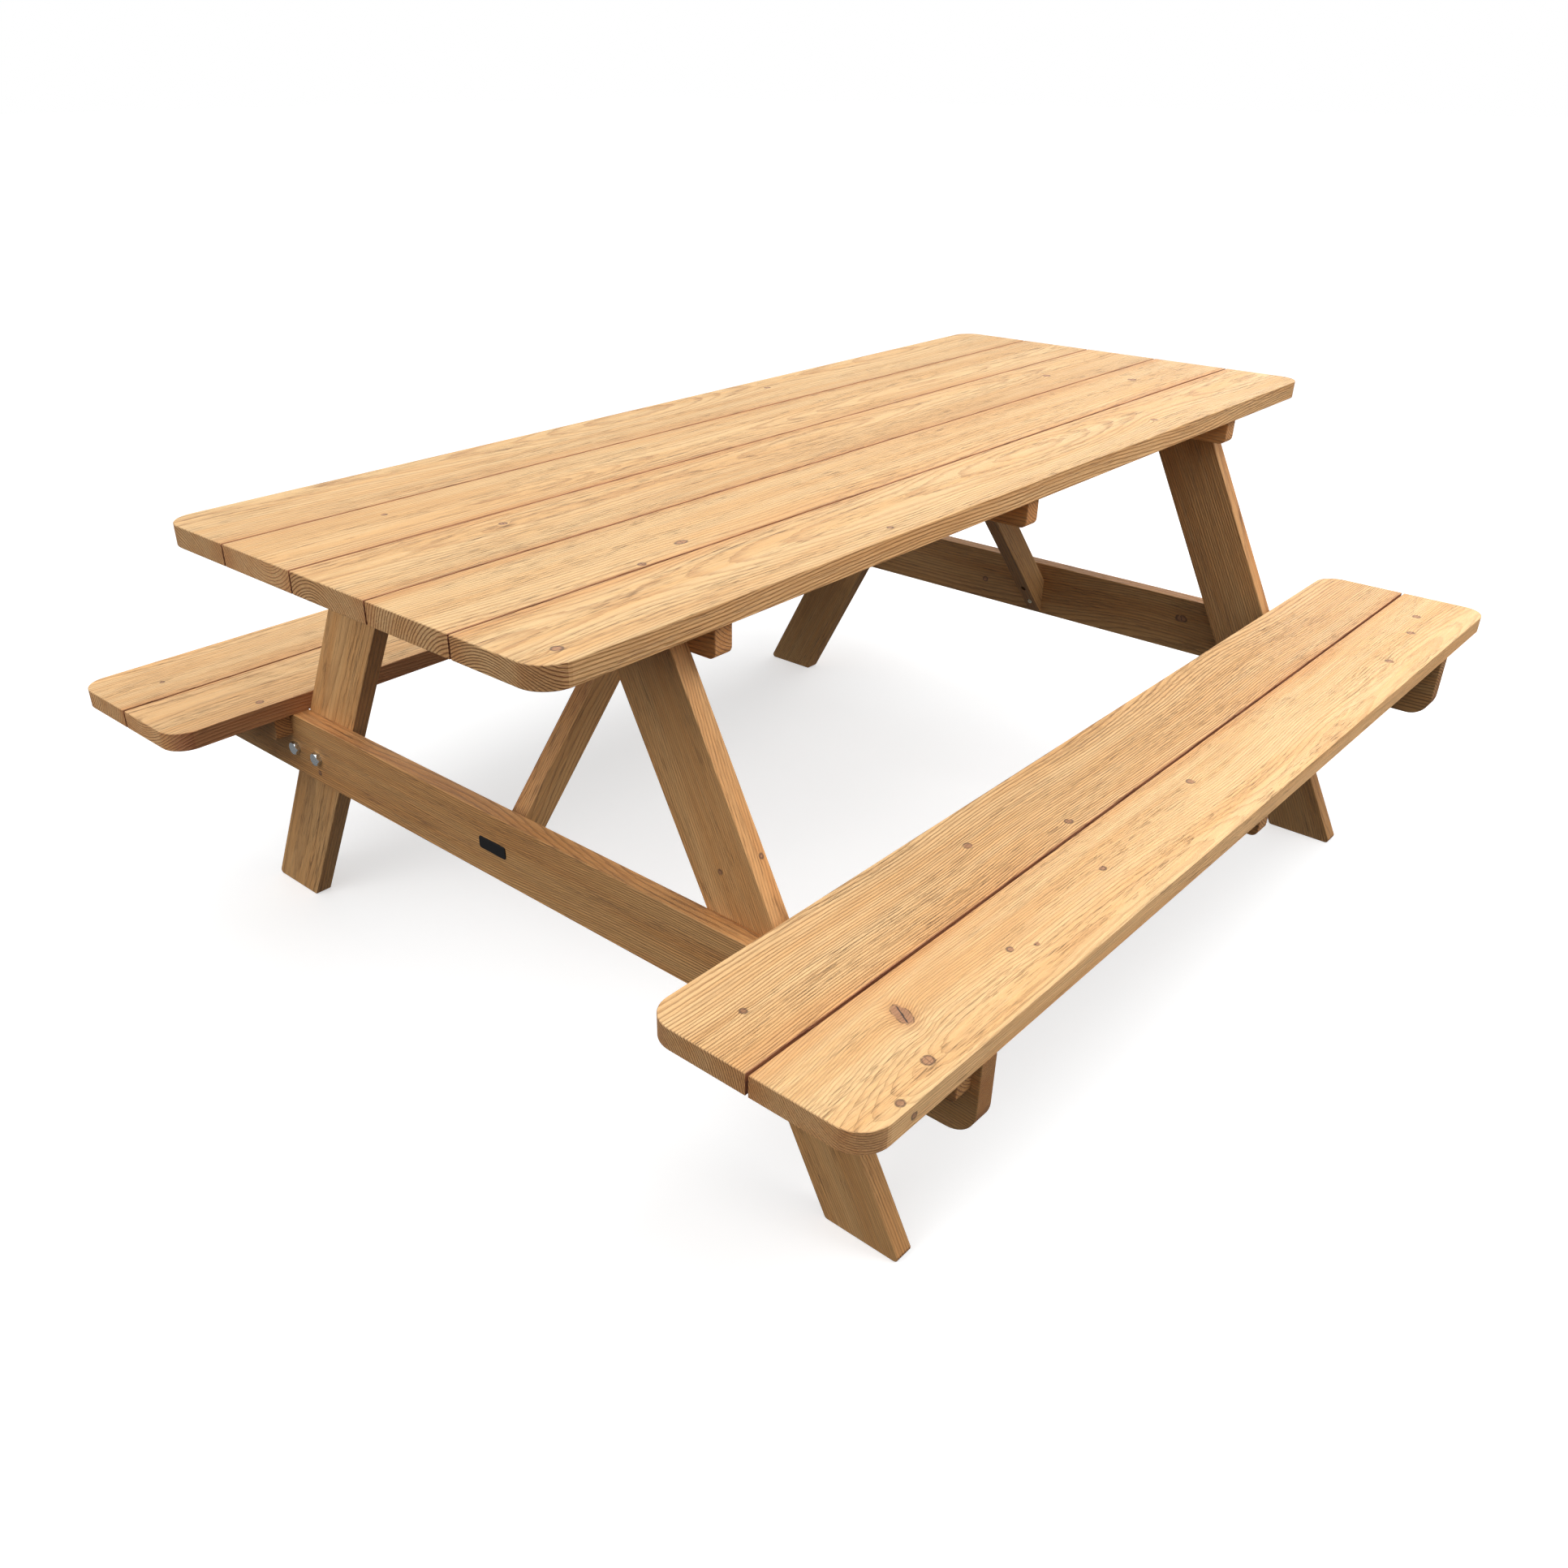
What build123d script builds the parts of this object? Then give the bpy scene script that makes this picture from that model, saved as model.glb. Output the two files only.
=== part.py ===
import os
from math import atan, cos, radians, sin, sqrt, tan

from build123d import *

os.makedirs("parts", exist_ok=True)

# Timber picnic table. Millimetres. +X runs along the table, +Y across it, +Z up.
# The origin is on the ground under the middle of the table.
# The near end is at -X, the far end at +X, the left bench at +Y and the right bench at -Y.

# Overall sizes
table_length = 1800.0
table_height = 740.0
overall_width = 1520.0
seat_height = 400.0

# Boards
board_thickness = 28.0
plank_width = 141.0
table_gap = 3.0
seat_gap = 4.0
table_plank_count = 5
corner_radius = 38.0
edge_ease = 0.8

# Legs: flat boards whose wide faces look along X
leg_width = 100.0
leg_lean = 27.7
foot_reach = 668.0
leg_outer_face = 680.0
foot_radius = 6.0

# Seat beams, bolted on the outside of the legs
beam_depth = 100.0
beam_corner_radius = 35.0

# Cleats under the top and the benches
cleat_depth = 40.0
cleat_radius = 10.0
top_cleat_inset = 8.0
seat_cleat_inset = 10.0

# Braces
brace_depth = 45.0
brace_rise = 1.12
brace_toe_height = 1.0
brace_toe_screw_rises = (28.0, 62.0)
brace_head_screw_insets = (32.0, 50.0)

# M12 hex bolts with a washer and a nut on the inner side
bolt_diameter = 12.0
bolt_length = 70.0
hex_across_flats = 19.0
bolt_head_height = 7.5
bolt_tip_chamfer = 1.2
bolt_hole_length = 210.0
hex_chamfer_angle = 30.0
washer_diameter = 24.0
washer_thickness = 2.5
nut_height = 10.0
bolt_spacing = 58.0
beam_bolt_height = 43.0
beam_bolt_middle = 452.0
clearance = 0.2

# Countersunk wood screws
screw_diameter = 5.0
screw_head_diameter = 9.6
screw_head_height = 2.6
screw_socket_size = 4.0
screw_socket_depth = 1.6
screw_point = 4.0
plank_screw_length = 50.0
brace_screw_length = 40.0
beam_screw_length = 45.0
plank_screw_spread = 45.0
seat_screw_spread = 35.0
screw_cover = 8.0

# Blank label plate
plate_width = 54.0
plate_height = 18.5
plate_thickness = 1.5
plate_radius = 4.0
plate_ease = 0.3
plate_offset = 6.0

# Derived sizes
top_underside = table_height - board_thickness
seat_underside = seat_height - board_thickness
table_pitch = plank_width + table_gap
table_width = table_plank_count * plank_width + (table_plank_count - 1) * table_gap
seat_edge = overall_width / 2
outer_seat_middle = seat_edge - plank_width / 2
inner_seat_middle = outer_seat_middle - plank_width - seat_gap
seat_inner_edge = inner_seat_middle - plank_width / 2
leg_inner_face = leg_outer_face - board_thickness
beam_outer_face = leg_outer_face + board_thickness
beam_bottom = seat_underside - beam_depth
leg_slope = tan(radians(leg_lean))
leg_foot_width = leg_width / cos(radians(leg_lean))
top_cleat_middle = leg_inner_face - board_thickness / 2
seat_cleat_middle = beam_outer_face + board_thickness / 2
top_cleat_length = table_width - 2 * top_cleat_inset
seat_cleat_length = seat_edge - seat_inner_edge - 2 * seat_cleat_inset
seat_middle = (seat_edge + seat_inner_edge) / 2
brace_angle = atan(brace_rise)
brace_bottom = beam_bottom + brace_toe_height
brace_head_inner = leg_outer_face - (top_underside - brace_bottom) / brace_rise
screw_tip_height = top_underside + board_thickness - screw_cover
seat_screw_tip_height = seat_underside + board_thickness - screw_cover
hex_circumradius = hex_across_flats / sqrt(3)

ends = {"near": -1, "far": 1}
sides = {"left": 1, "right": -1}

# Screw positions
table_plank_middles = [(i - (table_plank_count - 1) / 2) * table_pitch for i in range(table_plank_count)]
table_screw_ys = [y + s * plank_screw_spread for y in table_plank_middles for s in (-1, 1)]
seat_plank_middles = [inner_seat_middle, outer_seat_middle]
seat_screw_ys = [y + s * seat_screw_spread for y in seat_plank_middles for s in (-1, 1)]
top_cleat_xs = [-top_cleat_middle, 0.0, top_cleat_middle]
seat_cleat_xs = [-seat_cleat_middle, 0.0, seat_cleat_middle]
brace_head_screw_xs = [brace_head_inner + inset for inset in brace_head_screw_insets]
brace_toe_screw_heights = [beam_bottom + rise for rise in brace_toe_screw_rises]
beam_screw_height = seat_underside - cleat_depth / 2


def leg_middle(height):
    """Distance of a leg's centre line from the table's centre line at a height."""
    return foot_reach - leg_foot_width / 2 - leg_slope * height


top_bolt_height = top_underside - cleat_depth / 2
top_bolt_middle = leg_middle(top_bolt_height)


# Fastener templates


def make_screw(length):
    """A countersunk screw pointing up, the underside of its head's rim at the origin."""
    with BuildPart() as screw:
        with BuildSketch(Plane.XZ) as profile:
            with BuildLine():
                Polyline(
                    (0, -screw_head_height),
                    (screw_head_diameter / 2, -screw_head_height),
                    (screw_diameter / 2, 0),
                    (screw_diameter / 2, length - screw_point),
                    (0, length),
                    close=True,
                )
            make_face()
        revolve(axis=Axis.Z)
        with BuildSketch(Plane.XY.offset(-screw_head_height)):
            RegularPolygon(screw_socket_size / 2, 6)
        extrude(amount=screw_socket_depth, mode=Mode.SUBTRACT)
    return screw.part


def make_screw_hole(length, recess):
    """The room that a screw takes, with a round recess of the given depth below its head."""
    with BuildPart() as hole:
        with BuildSketch(Plane.XY):
            Circle(screw_diameter / 2 + clearance)
        extrude(amount=length + clearance)
        with BuildSketch(Plane.XY):
            Circle(screw_head_diameter / 2 + clearance)
        extrude(amount=-screw_head_height - recess)
    return hole.part


def make_bolt():
    """A hex bolt pointing along +Z, the underside of its head at the origin."""
    with BuildPart() as bolt:
        with BuildSketch(Plane.XY):
            RegularPolygon(hex_circumradius, 6)
        extrude(amount=-bolt_head_height)
        with BuildSketch(Plane.XY.offset(-bolt_head_height)):
            Circle(hex_across_flats / 2)
        extrude(amount=bolt_head_height, taper=-hex_chamfer_angle, mode=Mode.INTERSECT)
        with BuildSketch(Plane.XY):
            Circle(bolt_diameter / 2)
        extrude(amount=bolt_length)
        chamfer(bolt.faces().sort_by(Axis.Z)[-1].edges(), bolt_tip_chamfer)
    return bolt.part


def make_nut():
    """A hex nut, its bearing face at the origin and its body along +Z."""
    with BuildPart() as nut:
        with BuildSketch(Plane.XY):
            RegularPolygon(hex_circumradius, 6)
            Circle(bolt_diameter / 2 + clearance / 2, mode=Mode.SUBTRACT)
        extrude(amount=nut_height)
        with BuildSketch(Plane.XY.offset(nut_height)):
            Circle(hex_across_flats / 2)
        extrude(amount=-nut_height, taper=-hex_chamfer_angle, mode=Mode.INTERSECT)
    return nut.part


def make_washer():
    """A flat washer, its bearing face at the origin and its body along +Z."""
    with BuildPart() as washer:
        with BuildSketch(Plane.XY):
            Circle(washer_diameter / 2)
            Circle(bolt_diameter / 2 + clearance, mode=Mode.SUBTRACT)
        extrude(amount=washer_thickness)
    return washer.part


def upward(x, y, z):
    """A place whose Z axis points up."""
    return Location(Plane((x, y, z), z_dir=(0, 0, 1)))


def sideways(x, y, z, direction):
    """A place whose Z axis points along X, in the given direction."""
    return Location(Plane((x, y, z), x_dir=(0, 1, 0), z_dir=(direction, 0, 0)))


def save(piece, name):
    """Label a finished piece and write its STEP file."""
    piece.label = name
    export_step(piece, f"parts/{name}.step")


def save_group(template, places, name):
    """Write one node that holds a copy of a fastener at each place."""
    with BuildPart() as group:
        with Locations(*places):
            add(template)
    save(group.part, name)


# Places of every fastener
def table_screw_places(x):
    return [upward(x, y, screw_tip_height - plank_screw_length) for y in table_screw_ys]


def seat_screw_places(x, side):
    return [upward(x, side * y, seat_screw_tip_height - plank_screw_length) for y in seat_screw_ys]


def beam_bolt_places(end):
    ys = [beam_bolt_middle - bolt_spacing / 2, beam_bolt_middle + bolt_spacing / 2]
    z = beam_bottom + beam_bolt_height
    return [sideways(end * beam_outer_face, side * y, z, -end) for side in sides.values() for y in ys]


def top_bolt_places(end):
    ys = [top_bolt_middle - bolt_spacing / 2, top_bolt_middle + bolt_spacing / 2]
    return [
        sideways(end * leg_outer_face, side * y, top_bolt_height, -end)
        for side in sides.values()
        for y in ys
    ]


def brace_screw_places(end):
    seat = beam_outer_face - screw_cover - brace_screw_length
    toe = [sideways(end * seat, 0, z, end) for z in brace_toe_screw_heights]
    head = [upward(end * x, 0, screw_tip_height - brace_screw_length) for x in brace_head_screw_xs]
    return toe + head


def beam_screw_places(end):
    x = end * (leg_outer_face + screw_head_height)
    return [
        sideways(x, side * y, beam_screw_height, end)
        for side in sides.values()
        for y in seat_plank_middles
    ]


def along(places, distance):
    """The same places moved along their own Z axes."""
    return [place * Location((0, 0, distance)) for place in places]


plank_screw = make_screw(plank_screw_length)
brace_screw = make_screw(brace_screw_length)
beam_screw = make_screw(beam_screw_length)
plank_screw_hole = make_screw_hole(plank_screw_length, cleat_depth)
brace_screw_hole = make_screw_hole(brace_screw_length, brace_depth)
beam_screw_hole = make_screw_hole(beam_screw_length, 0)


# Boards


def make_plank(y_middle, z_bottom, width, rounded_side, screw_places, extra_places=()):
    """A plank along X. Its corners are rounded on one side: +1, -1 or 0 for none."""
    with BuildPart() as plank:
        with BuildSketch(Plane.XY.offset(z_bottom)) as outline:
            with Locations((0, y_middle)):
                Rectangle(table_length, width)
            if rounded_side:
                corners = outline.vertices().group_by(Axis.Y)[-1 if rounded_side > 0 else 0]
                fillet(corners, corner_radius)
        extrude(amount=board_thickness)
        chamfer(plank.faces().filter_by(Axis.Z).edges(), edge_ease)
        with Locations(*screw_places):
            add(plank_screw_hole, mode=Mode.SUBTRACT)
        if extra_places:
            with Locations(*extra_places):
                add(brace_screw_hole, mode=Mode.SUBTRACT)
    return plank.part


def make_leg(end, side):
    """A splayed leg with level-cut ends, standing on the ground under the tabletop."""
    foot_outer = side * foot_reach
    foot_inner = side * (foot_reach - leg_foot_width)
    top_shift = side * leg_slope * top_underside
    with BuildPart() as leg:
        with BuildSketch(Plane.YZ.offset(end * leg_inner_face)) as outline:
            with BuildLine():
                Polyline(
                    (foot_inner, 0),
                    (foot_outer, 0),
                    (foot_outer - top_shift, top_underside),
                    (foot_inner - top_shift, top_underside),
                    close=True,
                )
            make_face()
            fillet(outline.vertices().group_by(Axis.Y)[0], foot_radius)
        extrude(amount=end * board_thickness)
        chamfer(leg.faces().filter_by(Axis.X).edges(), edge_ease)
        with Locations(*beam_bolt_places(end), *top_bolt_places(end)):
            Cylinder(bolt_diameter / 2 + clearance, bolt_hole_length, mode=Mode.SUBTRACT)
    return leg.part


def make_beam(end):
    """A full-width seat beam with its bottom corners rounded."""
    with BuildPart() as beam:
        with BuildSketch(Plane.YZ.offset(end * leg_outer_face)) as outline:
            with Locations((0, beam_bottom + beam_depth / 2)):
                Rectangle(overall_width, beam_depth)
            fillet(outline.vertices().group_by(Axis.Y)[0], beam_corner_radius)
        extrude(amount=end * board_thickness)
        chamfer(beam.faces().filter_by(Axis.X).edges(), edge_ease)
        with Locations(*beam_bolt_places(end)):
            Cylinder(bolt_diameter / 2 + clearance, bolt_hole_length, mode=Mode.SUBTRACT)
        with Locations(*beam_screw_places(end)):
            add(beam_screw_hole, mode=Mode.SUBTRACT)
        with Locations(*brace_screw_places(end)):
            add(brace_screw_hole, mode=Mode.SUBTRACT)
    return beam.part


def make_cleat(x_middle, y_middle, z_top, length, screw_places, bolt_places=(), side_screw_places=()):
    """A cleat along Y with its bottom corners rounded."""
    with BuildPart() as cleat:
        with BuildSketch(Plane.YZ.offset(x_middle)) as outline:
            with Locations((y_middle, z_top - cleat_depth / 2)):
                Rectangle(length, cleat_depth)
            fillet(outline.vertices().group_by(Axis.Y)[0], cleat_radius)
        extrude(amount=board_thickness / 2, both=True)
        chamfer(cleat.faces().filter_by(Axis.X).edges(), edge_ease)
        with Locations(*screw_places):
            add(plank_screw_hole, mode=Mode.SUBTRACT)
        if bolt_places:
            with Locations(*bolt_places):
                Cylinder(bolt_diameter / 2 + clearance, bolt_hole_length, mode=Mode.SUBTRACT)
        if side_screw_places:
            with Locations(*side_screw_places):
                add(beam_screw_hole, mode=Mode.SUBTRACT)
    return cleat.part


def make_brace(end):
    """A diagonal brace, cut upright against the seat beam and level under the middle plank."""
    toe_cut = brace_depth / cos(brace_angle)
    head_cut = brace_depth / sin(brace_angle)
    with BuildPart() as brace:
        with BuildSketch(Plane.XZ):
            with BuildLine():
                Polyline(
                    (end * leg_outer_face, brace_bottom),
                    (end * leg_outer_face, brace_bottom + toe_cut),
                    (end * (brace_head_inner + head_cut), top_underside),
                    (end * brace_head_inner, top_underside),
                    close=True,
                )
            make_face()
        extrude(amount=board_thickness / 2, both=True)
        chamfer(brace.faces().filter_by(Axis.Y).edges(), edge_ease)
        with Locations(*brace_screw_places(end)):
            add(brace_screw_hole, mode=Mode.SUBTRACT)
    return brace.part


# Tabletop planks, from the right side to the left
for number, y_middle in enumerate(table_plank_middles, start=1):
    rounded = {1: -1, table_plank_count: 1}.get(number, 0)
    centre_plank = y_middle == 0
    brace_places = brace_screw_places(-1)[2:] + brace_screw_places(1)[2:] if centre_plank else ()
    own_screws = [
        upward(x, y_middle + s * plank_screw_spread, screw_tip_height - plank_screw_length)
        for x in top_cleat_xs
        for s in (-1, 1)
    ]
    plank = make_plank(y_middle, top_underside, plank_width, rounded, own_screws, brace_places)
    save(plank, f"table_plank_{number}")

# Bench planks
for side_name, side in sides.items():
    for row, y_middle, rounded in (("outer", outer_seat_middle, side), ("inner", inner_seat_middle, -side)):
        own_screws = [
            upward(x, side * (y_middle + s * seat_screw_spread), seat_screw_tip_height - plank_screw_length)
            for x in seat_cleat_xs
            for s in (-1, 1)
        ]
        plank = make_plank(side * y_middle, seat_underside, plank_width, rounded, own_screws)
        save(plank, f"{side_name}_seat_plank_{row}")

# End frames, braces and the fasteners of each end
bolt = make_bolt()
nut = make_nut()
washer = make_washer()
joint_depth = 2 * board_thickness
for end_name, end in ends.items():
    for side_name, side in sides.items():
        save(make_leg(end, side), f"{end_name}_{side_name}_leg")
    save(make_beam(end), f"{end_name}_seat_beam")
    save(make_brace(end), f"{end_name}_brace")
    for joint, places in (("beam", beam_bolt_places(end)), ("top", top_bolt_places(end))):
        save_group(bolt, places, f"{end_name}_{joint}_bolts")
        save_group(washer, along(places, joint_depth), f"{end_name}_{joint}_washers")
        save_group(nut, along(places, joint_depth + washer_thickness), f"{end_name}_{joint}_nuts")
    save_group(brace_screw, brace_screw_places(end), f"{end_name}_brace_screws")
    save_group(beam_screw, beam_screw_places(end), f"{end_name}_beam_screws")

# Cleats, with the screws that hold the planks to them
for position, x in zip(("near", "middle", "far"), top_cleat_xs):
    bolts = top_bolt_places(ends[position]) if position in ends else ()
    cleat = make_cleat(x, 0, top_underside, top_cleat_length, table_screw_places(x), bolts)
    save(cleat, f"{position}_top_cleat")
    save_group(plank_screw, table_screw_places(x), f"{position}_top_screws")
for side_name, side in sides.items():
    for position, x in zip(("near", "middle", "far"), seat_cleat_xs):
        screws = seat_screw_places(x, side)
        beam_screws = beam_screw_places(ends[position]) if position in ends else ()
        cleat = make_cleat(x, side * seat_middle, seat_underside, seat_cleat_length, screws, (), beam_screws)
        save(cleat, f"{side_name}_seat_cleat_{position}")
    all_screws = [place for x in seat_cleat_xs for place in seat_screw_places(x, side)]
    save_group(plank_screw, all_screws, f"{side_name}_seat_screws")

# Blank label plate on the outer face of the near seat beam
with BuildPart() as label_plate:
    with BuildSketch(Plane.YZ.offset(-beam_outer_face)):
        with Locations((plate_offset, beam_bottom + beam_depth / 2)):
            RectangleRounded(plate_width, plate_height, plate_radius)
    extrude(amount=-plate_thickness)
    chamfer(label_plate.faces().sort_by(Axis.X)[0].edges(), plate_ease)
save(label_plate.part, "label_plate")
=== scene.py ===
from collections import namedtuple
from functools import partial, reduce
from math import cos, radians, sin

import bpy
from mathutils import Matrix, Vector


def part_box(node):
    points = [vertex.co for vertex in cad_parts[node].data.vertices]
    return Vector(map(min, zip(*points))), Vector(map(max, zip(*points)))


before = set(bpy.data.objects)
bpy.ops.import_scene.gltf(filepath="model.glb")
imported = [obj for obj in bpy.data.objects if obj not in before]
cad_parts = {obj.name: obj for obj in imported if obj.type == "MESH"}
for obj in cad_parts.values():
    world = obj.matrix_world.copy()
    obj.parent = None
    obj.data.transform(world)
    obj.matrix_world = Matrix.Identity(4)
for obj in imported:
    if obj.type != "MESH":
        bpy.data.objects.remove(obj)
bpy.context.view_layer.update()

# Directions in the shared frame: X runs along the table, Y across it, Z up.
X = Vector((1, 0, 0))
Y = Vector((0, 1, 0))
Z = Vector((0, 0, 1))

# How far the legs lean from upright, and the way the near brace climbs from its seat beam.
LEG_LEAN = radians(27.7)
BRACE_DIRECTION = Vector((1, 0, 1.12)).normalized()

# The colours of each lot of boards, as linear RGB: between the ring lines, and in them. The shady
# wood is painted shade: darker colours for the boards of the far end, which stand in the table's shade.
Wood = namedtuple("Wood", "pale dark")
TABLE_WOOD = Wood((0.710, 0.471, 0.226), (0.420, 0.205, 0.075))
SEAT_WOOD = Wood((0.824, 0.530, 0.252), (0.380, 0.180, 0.064))
FRAME_WOOD = Wood((0.690, 0.392, 0.160), (0.330, 0.155, 0.056))
BEAM_WOOD = Wood((0.660, 0.355, 0.132), (0.300, 0.130, 0.044))
PAINTED_SHADE_WOOD = Wood((0.560, 0.310, 0.122), (0.250, 0.112, 0.040))

# The colours of what marks the wood.
KNOT_CORE = (0.360, 0.170, 0.086)
KNOT_RIM = (0.060, 0.025, 0.014)
SPLIT = (0.030, 0.014, 0.009)
# Painted shade for the long sides of boards, in the gaps between them and under the table.
PAINTED_SIDE_SHADE = (0.260, 0.075, 0.028)

# What the wood's own colour is multiplied by in some places.
HONEY_TINT = (0.92, 0.81, 0.69)
KNOT_HALO_TINT = (0.66, 0.46, 0.36)
BESIDE_JOINT_TINT = (0.88, 0.72, 0.58)
NARROW_SIDE_TINT = (0.99, 0.92, 0.87)
END_TINT = (0.83, 0.80, 0.77)
ROUNDED_CORNER_TINT = (0.90, 0.84, 0.80)
DASH_SHADE = 0.45
# Eased edges are painted lighter: partly wear, partly a painted highlight where light catches them.
EDGE_WEAR_AND_HIGHLIGHT_GAIN = 1.12

# The depth of a brushed board's relief in metres, and the rings' and the fibres' part in it.
RELIEF_DEPTH = 0.0015
RING_RELIEF = 0.55
FIBRE_RELIEF = 0.90

# A board's seed moves it to another stretch of every noise.
FIRST_SEED = 0.5
SEED_STEP = 1.37

# The floor's half width in metres, and the strength of its glow.
FLOOR_HALF_WIDTH = 40.0
FLOOR_GLOW = 0.50

# The brightness of the ground and of the sky, level with the eye and overhead. A shiny surface
# mirrors a lighter ground and a brighter sky than those that light the timber.
GROUND = 0.025
MIRRORED_GROUND = 0.28
SKY_AT_HORIZON = 0.20
SKY_OVERHEAD = 1.12
MIRRORED_SKY_GAIN = 2.9

Softbox = namedtuple("Softbox", "name place target size power")
SOFTBOXES = [
    Softbox("key", (0.6, -1.5, 2.6), (0.1, -0.2, 0.6), size=1.8, power=40.0),
    Softbox("side", (0.0, -3.0, 2.0), (0.0, -0.5, 0.6), size=1.4, power=10.0),
    Softbox("front", (-2.5, 0.3, 1.6), (-0.7, 0.0, 0.4), size=1.4, power=18.0),
    Softbox("back", (3.2, 0.3, 1.4), (0.6, 0.0, 0.6), size=1.6, power=14.0),
]

# The camera's heading is from Y towards X, its tilt is downwards, and its lens and sensor are in mm.
CAMERA_PLACE = (-1.6489, -1.2704, 1.2358)
CAMERA_HEADING = radians(47.959)
CAMERA_TILT = radians(30.082)
CAMERA_SENSOR = 36.0
CAMERA_LENS = 30.83
CAMERA_SHIFT = (0.0347, 0.0346)


class Wiring:
    """Adds nodes to a node tree and joins them up, so that a pattern reads like a formula."""

    def __init__(self, tree):
        self.tree = tree

    def node(self, kind, *values, **settings):
        """A node whose first inputs take the values: a socket is linked, anything else is set."""
        node = self.tree.nodes.new(kind)
        for name, setting in settings.items():
            setattr(node, name, setting)
        for socket, value in zip(node.inputs, values):
            self.feed(socket, value)
        return node

    def feed(self, socket, value):
        if isinstance(value, bpy.types.NodeSocket):
            self.tree.links.new(value, socket)
        else:
            socket.default_value = value

    def math(self, operation, *values):
        return self.node("ShaderNodeMath", *values, operation=operation).outputs[0]

    def chain(self, operation, *values):
        """Any number of values joined one after another with one operation."""
        return reduce(partial(self.math, operation), values)

    def vector(self, operation, *values):
        node = self.node("ShaderNodeVectorMath", *values, operation=operation)
        scalar = operation in ("DOT_PRODUCT", "LENGTH")
        return node.outputs["Value" if scalar else "Vector"]

    def split(self, vector):
        return self.node("ShaderNodeSeparateXYZ", vector).outputs

    def join(self, x, y, z):
        return self.node("ShaderNodeCombineXYZ", x, y, z).outputs[0]

    def step(self, value, low, high):
        """A soft step from 0 at low to 1 at high."""
        node = self.node("ShaderNodeMapRange", interpolation_type="SMOOTHSTEP")
        for name, number in (("Value", value), ("From Min", low), ("From Max", high)):
            self.feed(node.inputs[name], number)
        return node.outputs["Result"]

    def one_minus(self, value):
        return self.math("SUBTRACT", 1.0, value)

    def fade(self, value, low, high):
        """A soft step from 1 at low to 0 at high."""
        return self.one_minus(self.step(value, low, high))

    def span(self, value, low, high):
        """A number from 0 to 1 stretched over the range from low to high."""
        return self.math("MULTIPLY_ADD", value, high - low, low)

    def noise(self, place, scale=1.0, detail=2.0, roughness=0.5):
        node = self.node("ShaderNodeTexNoise")
        values = {"Vector": place, "Scale": scale, "Detail": detail, "Roughness": roughness}
        for name, value in values.items():
            self.feed(node.inputs[name], value)
        return node.outputs["Fac"]

    def blend(self, factor, first, second):
        """The first colour where the factor is 0, and the second where it is 1."""
        node = self.node("ShaderNodeMix", data_type="RGBA")
        self.feed(node.inputs["Factor"], factor)
        for name, colour in (("A", first), ("B", second)):
            socket = [s for s in node.inputs if s.name == name and s.type == "RGBA"][0]
            self.feed(socket, colour if isinstance(colour, bpy.types.NodeSocket) else (*colour, 1.0))
        return [s for s in node.outputs if s.type == "RGBA"][0]

    def scaled(self, colour, factor):
        """A colour times a number."""
        return self.vector("MULTIPLY", colour, self.join(factor, factor, factor))

    def tinted(self, mask, colour, tint):
        """A colour that is multiplied by the tint where the mask is 1."""
        return self.blend(mask, colour, self.vector("MULTIPLY", colour, tint))

    def object_place(self):
        """The place in the shared frame, because every CAD object's origin is the frame's."""
        return self.node("ShaderNodeTexCoord").outputs["Object"]


def new_group(name, inputs, outputs):
    """An empty node group, its wiring, and the sockets of its inputs and of its outputs."""
    tree = bpy.data.node_groups.new(name, "ShaderNodeTree")
    for direction, sockets in (("INPUT", inputs), ("OUTPUT", outputs)):
        for kind, names in sockets.items():
            for socket_name in names:
                tree.interface.new_socket(socket_name, in_out=direction, socket_type=f"NodeSocket{kind}")
    wiring = Wiring(tree)
    return tree, wiring, wiring.node("NodeGroupInput").outputs, wiring.node("NodeGroupOutput").inputs


def build_board_space():
    """Board coordinates in metres from the board's centre: x along the grain, y across, z through."""
    tree, w, given, result = new_group(
        "board_space",
        inputs={"Vector": ["Centre", "Along", "Across"]},
        outputs={"Vector": ["Place", "Facing"]},
    )
    through = w.vector("CROSS_PRODUCT", given["Along"], given["Across"])
    offset = w.vector("SUBTRACT", w.object_place(), given["Centre"])
    normal = w.node("ShaderNodeNewGeometry").outputs["True Normal"]
    for source, target in ((offset, "Place"), (normal, "Facing")):
        parts = [w.vector("DOT_PRODUCT", source, axis) for axis in (given["Along"], given["Across"], through)]
        w.feed(result[target], w.join(*parts))
    return tree


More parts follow.
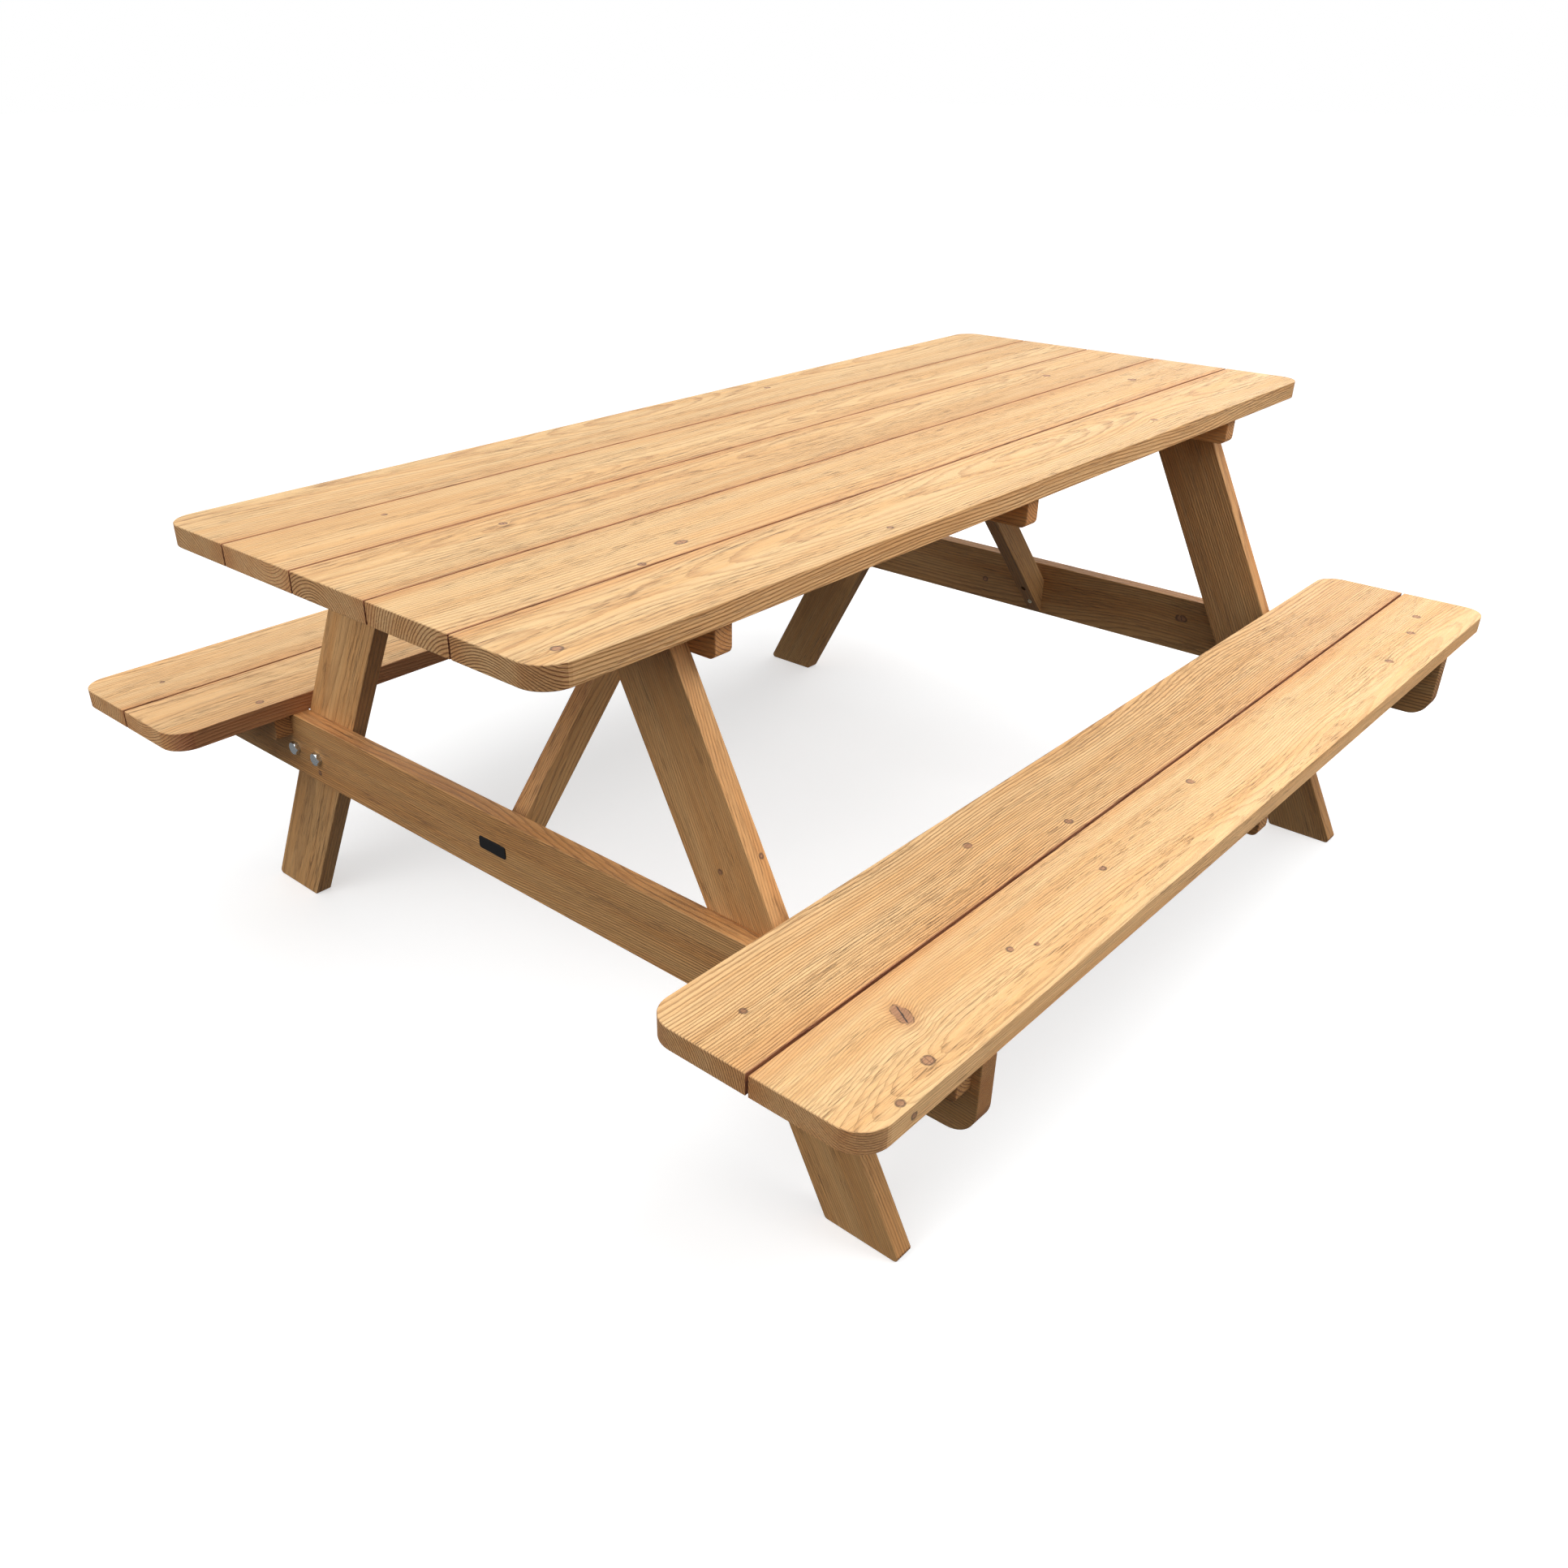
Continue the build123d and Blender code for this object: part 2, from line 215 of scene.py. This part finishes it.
def build_knot():
    """One knot, a branch right through the board: how it bends the rings, its core, rim and split."""
    tree, w, given, result = new_group(
        "knot",
        inputs={"Vector": ["Place", "Knot"], "Float": ["Radius", "Stretch", "Turn", "Split"]},
        outputs={"Float": ["Bend", "Core", "Rim", "Crack"]},
    )
    turned = w.node("ShaderNodeVectorRotate", rotation_type="Z_AXIS")
    w.feed(turned.inputs["Vector"], w.vector("SUBTRACT", given["Place"], given["Knot"]))
    w.feed(turned.inputs["Angle"], given["Turn"])
    along, across, _ = w.split(turned.outputs["Vector"])

    # The distance from the knot's centre in its own radii, and the same with a ragged outline.
    lengthwise = w.math("DIVIDE", along, w.math("MULTIPLY", given["Radius"], given["Stretch"]))
    crosswise = w.math("DIVIDE", across, given["Radius"])
    distance = w.vector("LENGTH", w.join(lengthwise, crosswise, 0.0))
    wobble = w.span(w.noise(given["Place"], scale=160.0), -0.20, 0.20)
    ragged = w.math("ADD", distance, wobble)

    # The rings swerve most at the knot and are straight again about four radii away.
    reach = w.chain("MULTIPLY", distance, distance, -0.24)
    w.feed(result["Bend"], w.math("MULTIPLY", w.math("EXPONENT", reach), given["Radius"]))
    w.feed(result["Core"], w.fade(ragged, 0.82, 1.05))

    # The rim's width is in metres, so that it is as thin round a large knot as round a small one.
    from_rim = w.math("MULTIPLY", w.math("ABSOLUTE", w.math("SUBTRACT", ragged, 1.0)), given["Radius"])
    unbroken = w.step(w.noise(given["Place"], scale=95.0, detail=1.0), 0.30, 0.52)
    w.feed(result["Rim"], w.math("MULTIPLY", w.fade(from_rim, 0.0003, 0.0020), unbroken))

    # A split runs across the grain through the core, a little slanted and jagged.
    slanted = w.math("SUBTRACT", lengthwise, w.math("MULTIPLY", crosswise, 0.25))
    jagged = w.math("ABSOLUTE", w.math("ADD", slanted, wobble))
    inside = w.fade(distance, 0.70, 0.98)
    w.feed(result["Crack"], w.chain("MULTIPLY", w.fade(jagged, 0.03, 0.14), inside, given["Split"]))
    return tree


def build_growth():
    """Growth rings, fibres, patches and the torn dashes of a brushed face, each from 0 to 1."""
    tree, w, given, result = new_group(
        "growth",
        inputs={"Vector": ["Place", "Pith"], "Float": ["Ring", "Seed", "Bend"]},
        outputs={"Float": ["Late", "Fibre", "Streak", "Dash", "Patch", "Ripple"]},
    )
    shift = w.scaled(w.join(3.1, 5.7, 9.3), given["Seed"])

    def stretched(along, across):
        """The board's place, scaled so that a noise has so many waves a metre along and across the grain."""
        return w.vector("ADD", w.vector("MULTIPLY", given["Place"], (along, across, across)), shift)

    def grain(along, across, detail=2.0, roughness=0.5):
        return w.noise(stretched(along, across), detail=detail, roughness=roughness)

    # The pith wanders along the board, so rings that meet a face come out as pointed arches.
    wander = w.span(grain(1.6, 0.0, detail=1.0), -0.036, 0.036)
    elsewhere = w.vector("ADD", stretched(1.3, 0.0), (7.0, 2.0, 4.0))
    climb = w.span(w.noise(elsewhere, detail=1.0), -0.034, 0.034)
    drift = w.join(0.0, wander, climb)
    from_pith = w.vector("SUBTRACT", w.vector("SUBTRACT", given["Place"], given["Pith"]), drift)
    radius = w.vector("LENGTH", w.vector("MULTIPLY", from_pith, (0.0, 1.0, 1.0)))

    # Rings swerve round knots, wave and shiver, and some years are wider than others.
    swerve = w.math("MULTIPLY", given["Bend"], 0.45)
    waves = w.span(grain(6.0, 22.0), -0.0014, 0.0014)
    shiver = w.span(grain(45.0, 260.0), -0.0007, 0.0007)
    rough_radius = w.chain("ADD", radius, swerve, waves, shiver)
    years = w.noise(w.join(0.0, 0.0, w.math("MULTIPLY", rough_radius, 70.0)), detail=1.0)
    rings = w.math("ADD", w.math("DIVIDE", rough_radius, given["Ring"]), w.span(years, -0.9, 0.9))

    # The dark late wood comes on slowly in a year and ends at once.
    phase = w.math("FRACT", rings)
    late = w.math("MULTIPLY", w.step(phase, 0.50, 0.91), w.fade(phase, 0.93, 1.0))
    w.feed(result["Late"], late)

    w.feed(result["Fibre"], grain(9.0, 420.0, detail=4.0, roughness=0.7))
    w.feed(result["Streak"], w.step(grain(5.0, 300.0, detail=3.0, roughness=0.6), 0.55, 0.68))
    w.feed(result["Patch"], grain(1.8, 30.0, detail=4.0, roughness=0.6))
    w.feed(result["Ripple"], grain(24.0, 130.0, detail=3.0, roughness=0.6))

    # Brushing tears the wood beside the rings into short dark dashes, in some places more than others.
    flecks = w.step(grain(26.0, 620.0, roughness=0.55), 0.56, 0.68)
    worn = w.step(grain(3.5, 34.0), 0.38, 0.62)
    weight = w.math("MULTIPLY", worn, w.span(late, 0.55, 1.0))
    w.feed(result["Dash"], w.math("MULTIPLY", flecks, weight))
    return tree


BOARD_SPACE = build_board_space()
KNOT = build_knot()
GROWTH = build_growth()

# A knot's place along and across its board from the centre, its radius, how far it has split,
# how many times longer it is along the grain than across, how far it is turned, and whether it
# shows on the board's narrow sides, where across is counted through the board. Lengths are in
# metres, and the turn is in radians.
Knot = namedtuple("Knot", "along across radius split stretch turn edge", defaults=(0.0, 1.1, 0.0, False))

# How one board was cut and what shows on it: the pith's place across and through the board, the
# ring spacing, its wood, its long sides with painted shade and a stain beside them, and how strong its ring
# lines and its dashes are.
Cut = namedtuple("Cut", "pith ring wood stains lines dashes", defaults=((), 0.60, 0.85))

# A long side with painted shade, where a gap between boards or the table above shades it, and a
# stain beside it: 1 for the side at rising Y or -1 for falling Y, and how strong the painted shade is.
LEFT_JOINT = (1, 0.85)
RIGHT_JOINT = (-1, 0.85)
FAINT_RIGHT_SIDE = (-1, 0.55)


def use_group(w, group, **inputs):
    """One use of a node group: its inputs go in by name, and its outputs come back."""
    node = w.node("ShaderNodeGroup", node_tree=group)
    for name, value in inputs.items():
        w.feed(node.inputs[name], value)
    return node.outputs


def new_material(name):
    """A material with an empty tree but for a principled shader, and its wiring."""
    material = bpy.data.materials.new(name)
    material.use_nodes = True
    material.node_tree.nodes.clear()
    w = Wiring(material.node_tree)
    shader = w.node("ShaderNodeBsdfPrincipled")
    output = w.node("ShaderNodeOutputMaterial")
    w.feed(output.inputs["Surface"], shader.outputs["BSDF"])
    return material, w, shader


def add_bump(w, shader, height, depth, strength=1.0):
    bump = w.node("ShaderNodeBump")
    for name, value in (("Strength", strength), ("Distance", depth), ("Height", height)):
        w.feed(bump.inputs[name], value)
    w.feed(shader.inputs["Normal"], bump.outputs["Normal"])


def gather_knots(w, place, knots):
    """All of a board's knots in one: how they bend the rings, and their cores, rims and cracks."""
    x, y, z = w.split(place)
    edgewise = w.join(x, z, y)
    marks = [
        use_group(
            w,
            KNOT,
            Place=edgewise if knot.edge else place,
            Knot=(knot.along, knot.across, 0.0),
            Radius=knot.radius,
            Stretch=knot.stretch,
            Turn=knot.turn,
            Split=knot.split,
        )
        for knot in knots
    ]
    bend = w.chain("ADD", 0.0, *(mark["Bend"] for mark in marks))
    core, rim, crack = (
        w.chain("MAXIMUM", 0.0, *(mark[name] for mark in marks)) for name in ("Core", "Rim", "Crack")
    )
    return bend, core, rim, crack


def clean_wood(w, cut, growth, end_grain, dash):
    """Early wood, late wood, streaks, fibres and dashes, without knots or stains."""
    pale, dark = cut.wood
    honey = [channel * tint for channel, tint in zip(pale, HONEY_TINT)]
    colour = w.blend(w.step(growth["Patch"], 0.36, 0.66), pale, honey)
    line = w.math("MULTIPLY", growth["Late"], w.span(growth["Ripple"], 0.0, 1.6))
    line = w.math("MULTIPLY", line, w.math("MULTIPLY_ADD", end_grain, 0.8, cut.lines))
    colour = w.blend(line, colour, dark)
    colour = w.blend(w.math("MULTIPLY", growth["Streak"], 0.30), colour, dark)
    colour = w.scaled(colour, w.span(growth["Fibre"], 0.66, 1.34))
    return w.blend(w.math("MULTIPLY", dash, cut.dashes), colour, [channel * DASH_SHADE for channel in dark])


def add_knots(w, colour, growth, bend, core, rim, crack):
    """Knots over the wood, each in a darker halo where the rings swerve round it."""
    halo = w.math("MULTIPLY", w.step(bend, 0.003, 0.018), 0.45)
    colour = w.tinted(halo, colour, KNOT_HALO_TINT)
    core_wood = w.scaled(KNOT_CORE, w.span(growth["Fibre"], 0.7, 1.3))
    colour = w.blend(w.math("MULTIPLY", core, 0.85), colour, core_wood)
    colour = w.blend(w.math("MULTIPLY", rim, 0.75), colour, KNOT_RIM)
    return w.blend(crack, colour, SPLIT)


def add_side_shade_and_stain(w, colour, growth, off_centre, sideways, side, strength):
    """Painted shade on one long side of a board, where a gap or the table above shades it, and a stain
    soaking unevenly into the face beside it.
    """
    beside = w.step(w.math("MULTIPLY", off_centre, side), 0.042, 0.071)
    soaked = w.math("MULTIPLY", beside, w.span(growth["Patch"], 0.15, 1.05))
    colour = w.tinted(soaked, colour, BESIDE_JOINT_TINT)
    # The long side itself gets painted shade, as the gap or the table above shades it.
    painted_shade_side = w.step(w.math("MULTIPLY", sideways, side), 0.35, 0.85)
    return w.blend(w.math("MULTIPLY", painted_shade_side, strength), colour, PAINTED_SIDE_SHADE)


def timber(name, along, across, cut, knots, seed):
    """Oiled, brushed softwood for one board, with the grain running along it."""
    material, w, shader = new_material(name)
    low, high = (Vector(corner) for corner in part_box(name))
    space = use_group(w, BOARD_SPACE, Centre=(low + high) / 2, Along=along, Across=across)
    place = space["Place"]
    bend, core, rim, crack = gather_knots(w, place, knots)
    growth = use_group(w, GROWTH, Place=place, Pith=(0.0, *cut.pith), Ring=cut.ring, Seed=seed, Bend=bend)

    # How far a point lies on an end, a narrow side, a rounded corner or an eased edge.
    facing = w.split(space["Facing"])
    endward, sideward, faceward = (w.math("ABSOLUTE", part) for part in facing)
    end_grain = w.step(endward, 0.06, 0.20)
    narrow_side = w.fade(faceward, 0.10, 0.60)
    rounded_corner = w.step(w.math("MULTIPLY", endward, sideward), 0.03, 0.10)
    eased_edge = w.step(w.math("MULTIPLY", faceward, w.math("MAXIMUM", endward, sideward)), 0.25, 0.42)

    dash = w.math("MULTIPLY", growth["Dash"], w.one_minus(end_grain))
    colour = clean_wood(w, cut, growth, end_grain, dash)
    colour = w.tinted(narrow_side, colour, NARROW_SIDE_TINT)
    colour = w.tinted(end_grain, colour, END_TINT)
    colour = w.tinted(rounded_corner, colour, ROUNDED_CORNER_TINT)
    if knots:
        colour = add_knots(w, colour, growth, bend, core, rim, crack)
    # Eased edges are lighter: partly wear, partly a painted highlight.
    worn_and_highlit_edge = [min(1.0, channel * EDGE_WEAR_AND_HIGHLIGHT_GAIN) for channel in cut.wood.pale]
    colour = w.blend(w.math("MULTIPLY", eased_edge, 0.25), colour, worn_and_highlit_edge)
    off_centre = w.split(place)["Y"]
    # Painted shade on the long sides that are shaded, with a stain on the face beside them.
    for side, strength in cut.stains:
        colour = add_side_shade_and_stain(w, colour, growth, off_centre, facing["Y"], side, strength)
    w.feed(shader.inputs["Base Color"], colour)

    w.feed(shader.inputs["Roughness"], w.span(growth["Fibre"], 0.50, 0.78))
    shader.inputs["Specular IOR Level"].default_value = 0.50

    ridges = w.math("MULTIPLY", growth["Late"], RING_RELIEF)
    fibres = w.math("MULTIPLY", growth["Fibre"], FIBRE_RELIEF)
    pits = w.math("MULTIPLY", w.math("MAXIMUM", dash, crack), -1.0)
    add_bump(w, shader, w.chain("ADD", ridges, fibres, pits), RELIEF_DEPTH)
    return material


def cover(node, material):
    """Gives one CAD node its material, on every slot of its object."""
    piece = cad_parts[node]
    if not piece.material_slots:
        piece.data.materials.append(material)
    for material_slot in piece.material_slots:
        material_slot.link = "OBJECT"
        material_slot.material = material


def table_cut(pith, ring, *stains):
    return Cut(pith, ring, TABLE_WOOD, stains, lines=0.68, dashes=0.95)


def leg_cut(pith, ring, wood):
    return Cut(pith, ring, wood, lines=0.45, dashes=0.70)


# The pith lies over or under a flat-sawn board, and well to the side of one with straighter grain.
TABLE_BOARDS = {
    "table_plank_1": (
        table_cut((0.015, -0.085), 0.0032, LEFT_JOINT),
        [Knot(-0.852, -0.037, 0.0056), Knot(-0.316, -0.046, 0.0035), Knot(0.430, -0.020, 0.0050)],
    ),
    "table_plank_2": (
        table_cut((-0.095, -0.060), 0.0042, LEFT_JOINT, RIGHT_JOINT),
        [
            Knot(-0.618, -0.0625, 0.0042, split=1.0),
            Knot(-0.530, -0.040, 0.0050, split=0.4, stretch=1.8),
            Knot(0.690, 0.010, 0.0065),
        ],
    ),
    "table_plank_3": (
        table_cut((0.035, -0.050), 0.0038, LEFT_JOINT, RIGHT_JOINT),
        [Knot(-0.624, 0.031, 0.0045, split=1.0), Knot(0.618, -0.002, 0.0060)],
    ),
    "table_plank_4": (
        table_cut((-0.020, 0.055), 0.0040, LEFT_JOINT, RIGHT_JOINT),
        [Knot(-0.700, 0.028, 0.0030)],
    ),
    "table_plank_5": (
        table_cut((0.060, -0.080), 0.0042, RIGHT_JOINT),
        [Knot(0.200, 0.020, 0.0045)],
    ),
}
SEAT_BOARDS = {
    "right_seat_plank_outer": (
        Cut((-0.055, 0.060), 0.0030, SEAT_WOOD, (LEFT_JOINT,), lines=0.34, dashes=0.38),
        [
            Knot(-0.725, 0.0175, 0.0175, split=1.0, stretch=0.52, turn=0.39),
            Knot(-0.767, -0.0435, 0.0064, split=0.35),
            Knot(-0.835, -0.0600, 0.0044),
            Knot(-0.826, -0.0010, 0.0040, split=0.3, stretch=1.0, edge=True),
            Knot(-0.552, -0.0025, 0.0040),
            Knot(-0.523, -0.0185, 0.0032),
            Knot(-0.332, 0.0065, 0.0042),
            Knot(-0.051, 0.0285, 0.0052),
            Knot(0.554, -0.0225, 0.0060),
            Knot(0.705, -0.0055, 0.0055),
            Knot(0.791, 0.0135, 0.0062),
        ],
    ),
    "right_seat_plank_inner": (
        Cut((0.090, -0.045), 0.0034, SEAT_WOOD, (RIGHT_JOINT,), lines=0.85, dashes=0.70),
        [
            Knot(-0.828, -0.0045, 0.0038),
            Knot(-0.395, 0.0105, 0.0056),
            Knot(-0.257, -0.0505, 0.0050, split=0.4),
        ],
    ),
    "left_seat_plank_inner": (
        # Its right side, the inner edge under the table, has fainter painted shade.
        Cut((0.020, 0.120), 0.0040, SEAT_WOOD, (LEFT_JOINT, FAINT_RIGHT_SIDE)),
        [Knot(-0.747, -0.0495, 0.0050), Knot(0.380, 0.020, 0.0055)],
    ),
    "left_seat_plank_outer": (
        Cut((0.080, 0.070), 0.0042, SEAT_WOOD, (RIGHT_JOINT,)),
        [Knot(-0.808, -0.0145, 0.0030), Knot(0.150, 0.030, 0.0045)],
    ),
}
FRAME_BOARDS = {
    "near_right_leg": (
        Cut((0.120, 0.120), 0.0026, FRAME_WOOD, lines=0.42, dashes=0.60),
        [
            Knot(0.084, 0.0015, 0.0026),
            Knot(-0.020, 0.030, 0.0018),
            Knot(0.090, -0.0065, 0.0026, edge=True),
        ],
    ),
    "near_left_leg": (leg_cut((0.020, -0.070), 0.0048, FRAME_WOOD), []),
    # The far right leg, the far seat beam and the far brace take the shady wood, which is painted shade.
    "far_right_leg": (leg_cut((0.130, -0.030), 0.0040, PAINTED_SHADE_WOOD), []),
    "far_left_leg": (leg_cut((-0.120, 0.030), 0.0040, FRAME_WOOD), []),
    "near_seat_beam": (
        Cut((-0.130, 0.060), 0.0030, BEAM_WOOD, lines=0.58, dashes=0.80),
        [Knot(0.424, -0.032, 0.0034, split=0.6)],
    ),
    "far_seat_beam": (
        Cut((-0.060, -0.050), 0.0046, PAINTED_SHADE_WOOD),
        [Knot(-0.306, 0.012, 0.0060, split=0.6, stretch=1.7), Knot(0.120, -0.010, 0.0045)],
    ),
    "near_brace": (Cut((0.060, -0.060), 0.0034, FRAME_WOOD), []),
    "far_brace": (Cut((-0.060, 0.040), 0.0042, PAINTED_SHADE_WOOD), []),
}
for end in ("near", "middle", "far"):
    FRAME_BOARDS[f"{end}_top_cleat"] = (Cut((0.030, -0.050), 0.0040, FRAME_WOOD), [])
    for side in ("left", "right"):
        FRAME_BOARDS[f"{side}_seat_cleat_{end}"] = (Cut((0.040, -0.040), 0.0042, FRAME_WOOD), [])


def grain_of(node):
    """The directions along and across a board's grain, from what kind of board it is."""
    if node.endswith("leg"):
        side = 1 if "left" in node else -1
        along = Vector((0, -side * sin(LEG_LEAN), cos(LEG_LEAN)))
        return along, along.cross(X)
    if node.endswith("brace"):
        inward = 1 if node.startswith("near") else -1
        along = Vector((inward * BRACE_DIRECTION.x, 0, BRACE_DIRECTION.z))
        return along, along.cross(Y)
    if node.endswith("beam"):
        return Y, Z
    if "cleat" in node:
        return Y, X
    return X, Y


def cover_boards():
    """Every board gets a timber of its own. Its seed goes by its number, so the order matters."""
    boards = {**TABLE_BOARDS, **SEAT_BOARDS, **FRAME_BOARDS}
    for number, (node, (cut, knots)) in enumerate(boards.items()):
        along, across = grain_of(node)
        seed = SEED_STEP * number + FIRST_SEED
        cover(node, timber(node, along, across, cut, knots, seed))


def mottled_metal(name, scale, dark, light, smooth, rough):
    """Plated metal with fine patches of its two colours, and its wiring and patches for a bump."""
    material, w, shader = new_material(name)
    mottle = w.noise(w.object_place(), scale, detail=3.0, roughness=0.6)
    w.feed(shader.inputs["Base Color"], w.blend(mottle, dark, light))
    w.feed(shader.inputs["Roughness"], w.span(mottle, smooth, rough))
    shader.inputs["Metallic"].default_value = 1.0
    return material, w, shader, mottle


def zinc():
    """Bright zinc plating, a little mottled, with fine drawing marks."""
    dark, light = (0.46, 0.50, 0.53), (0.74, 0.78, 0.80)
    material, w, shader, _ = mottled_metal("zinc", 420.0, dark, light, smooth=0.16, rough=0.38)
    marks = w.noise(w.vector("MULTIPLY", w.object_place(), (900.0, 900.0, 120.0)))
    add_bump(w, shader, marks, depth=0.00005, strength=0.6)
    return material


def screw_steel():
    """Yellowish passivated screws, duller than the bolts."""
    dark, light = (0.36, 0.31, 0.22), (0.58, 0.52, 0.40)
    material, w, shader, mottle = mottled_metal("screw_steel", 600.0, dark, light, smooth=0.28, rough=0.50)
    add_bump(w, shader, mottle, depth=0.00004, strength=0.5)
    return material


def label_plastic():
    """Black satin plastic with a fine leathery moulding texture."""
    material, w, shader = new_material("label_plastic")
    cloud = w.noise(w.object_place(), scale=90.0)
    leather = w.noise(w.object_place(), scale=2600.0)
    w.feed(shader.inputs["Base Color"], w.blend(cloud, (0.005, 0.005, 0.006), (0.012, 0.011, 0.012)))
    w.feed(shader.inputs["Roughness"], w.span(cloud, 0.34, 0.48))
    shader.inputs["Specular IOR Level"].default_value = 0.15
    add_bump(w, shader, leather, depth=0.00006, strength=0.5)
    return material


def cover_fittings():
    bright = zinc()
    dull = screw_steel()
    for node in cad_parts:
        if node.endswith(("bolts", "washers", "nuts")):
            cover(node, bright)
        elif node.endswith("screws"):
            cover(node, dull)
    cover("label_plate", label_plastic())


def floor_material():
    """A faintly clouded off-white that glows a little, so that shadows on it stay light."""
    material, w, shader = new_material("floor")
    cloud = w.noise(w.object_place(), scale=1.5)
    w.feed(shader.inputs["Base Color"], w.blend(cloud, (0.68, 0.68, 0.68), (0.71, 0.71, 0.71)))
    shader.inputs["Roughness"].default_value = 0.9
    shader.inputs["Specular IOR Level"].default_value = 0.1
    shader.inputs["Emission Color"].default_value = (1.0, 1.0, 1.0, 1.0)
    shader.inputs["Emission Strength"].default_value = FLOOR_GLOW
    return material


def lay_floor():
    """A pale floor, wide enough to fill the picture. It doesn't tint or light the timber from below."""
    half = FLOOR_HALF_WIDTH
    corners = [(-half, -half, 0.0), (half, -half, 0.0), (half, half, 0.0), (-half, half, 0.0)]
    mesh = bpy.data.meshes.new("floor")
    mesh.from_pydata(corners, [], [(0, 1, 2, 3)])
    mesh.materials.append(floor_material())
    floor = bpy.data.objects.new("floor", mesh)
    floor.visible_diffuse = False
    floor.visible_glossy = False
    bpy.context.collection.objects.link(floor)


def add_softbox(box):
    """A square soft light at one place, turned to another and unseen by the camera."""
    light = bpy.data.lights.new(box.name, "AREA")
    light.energy = box.power
    light.size = box.size
    lamp = bpy.data.objects.new(box.name, light)
    lamp.location = box.place
    lamp.rotation_euler = (Vector(box.place) - Vector(box.target)).to_track_quat("Z", "Y").to_euler()
    lamp.visible_camera = False
    bpy.context.collection.objects.link(lamp)


def light_studio():
    """A sky that is brightest overhead, a dim ground, and soft lights round the table."""
    world = bpy.data.worlds.new("studio")
    world.use_nodes = True
    world.node_tree.nodes.clear()
    w = Wiring(world.node_tree)
    path = w.node("ShaderNodeLightPath").outputs
    upward = w.split(w.node("ShaderNodeTexCoord").outputs["Generated"])["Z"]
    ground = w.span(path["Is Glossy Ray"], GROUND, MIRRORED_GROUND)
    gain = w.span(path["Is Glossy Ray"], 1.0, MIRRORED_SKY_GAIN)
    sky = w.math("MULTIPLY", w.span(w.math("MAXIMUM", upward, 0.0), SKY_AT_HORIZON, SKY_OVERHEAD), gain)
    above_horizon = w.step(upward, -0.04, 0.04)
    level = w.math("ADD", ground, w.math("MULTIPLY", above_horizon, w.math("SUBTRACT", sky, ground)))

    # The camera itself sees plain white round the floor.
    level = w.math("MAXIMUM", level, path["Is Camera Ray"])
    background = w.node("ShaderNodeBackground", w.join(level, level, level))
    output = w.node("ShaderNodeOutputWorld")
    w.feed(output.inputs["Surface"], background.outputs[0])
    bpy.context.scene.world = world

    for box in SOFTBOXES:
        add_softbox(box)


def place_camera():
    """The camera stands off the near end's right-hand corner and looks down along the table."""
    view = bpy.data.cameras.new("camera")
    view.sensor_width = CAMERA_SENSOR
    view.lens = CAMERA_LENS
    view.shift_x, view.shift_y = CAMERA_SHIFT
    camera = bpy.data.objects.new("camera", view)
    camera.location = CAMERA_PLACE
    level = cos(CAMERA_TILT)
    forward = Vector((sin(CAMERA_HEADING) * level, cos(CAMERA_HEADING) * level, -sin(CAMERA_TILT)))
    camera.rotation_euler = forward.to_track_quat("-Z", "Y").to_euler()
    bpy.context.collection.objects.link(camera)
    bpy.context.scene.camera = camera


cover_boards()
cover_fittings()
lay_floor()
light_studio()
place_camera()

# The standard view keeps the white round the table white.
bpy.context.scene.view_settings.view_transform = "Standard"
